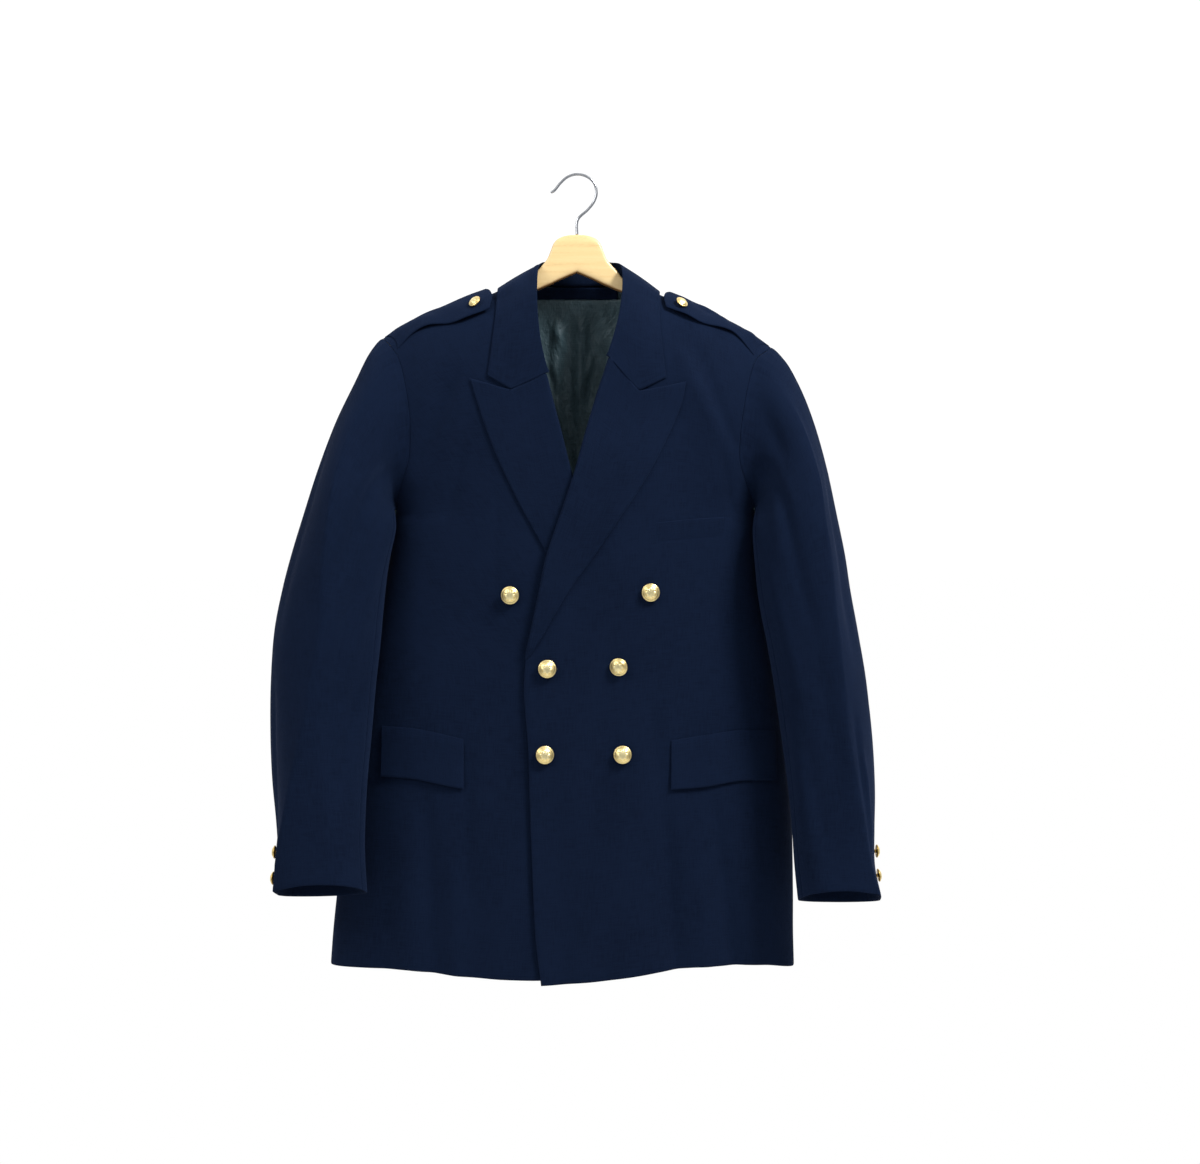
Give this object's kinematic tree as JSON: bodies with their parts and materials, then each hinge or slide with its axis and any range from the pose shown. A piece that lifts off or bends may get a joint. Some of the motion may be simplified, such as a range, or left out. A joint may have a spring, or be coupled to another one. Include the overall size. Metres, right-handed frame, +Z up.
{
  "type": "double-breasted jacket on a wooden hanger",
  "caption": "Double-breasted wool jacket with peaked lapels, shoulder straps and metal dome buttons, hanging open-necked on a wooden hanger.",
  "frame": {"origin": "underside of the top of the hanger's hook, where a rod carries it", "axes": "+Z up, -Y towards the front of the jacket, +X towards the wearer's left side"},
  "size_m": [0.6757, 0.1758, 0.9051],
  "materials": {
    "wool": "soft napped navy wool",
    "satin": "dark satin lining with a soft sheen",
    "gold": "polished gilt",
    "beech": "clear satin varnish",
    "chrome": "bright plated wire"
  },
  "bodies": {
    "root": {"front_right": "wool", "front_left": "wool", "back_right": "wool", "back_left": "wool", "collar": "wool", "lapel_right": "wool", "lapel_left": "wool", "back_facing": "wool", "back_lining": "satin", "top_sleeve_right": "wool", "top_sleeve_left": "wool", "under_sleeve_right": "wool", "under_sleeve_left": "wool", "pocket_flap_right": "wool", "pocket_flap_left": "wool", "chest_welt": "wool", "shoulder_strap_right": "wool", "shoulder_strap_left": "wool", "button_upper_right": "gold", "button_upper_left": "gold", "button_middle_right": "gold", "button_middle_left": "gold", "button_lower_right": "gold", "button_lower_left": "gold", "strap_button_right": "gold", "strap_button_left": "gold", "cuff_button_right_upper": "gold", "cuff_button_right_lower": "gold", "cuff_button_left_upper": "gold", "cuff_button_left_lower": "gold", "hanger": "beech", "hanger_hook": "chrome"}
  },
  "joints": []
}
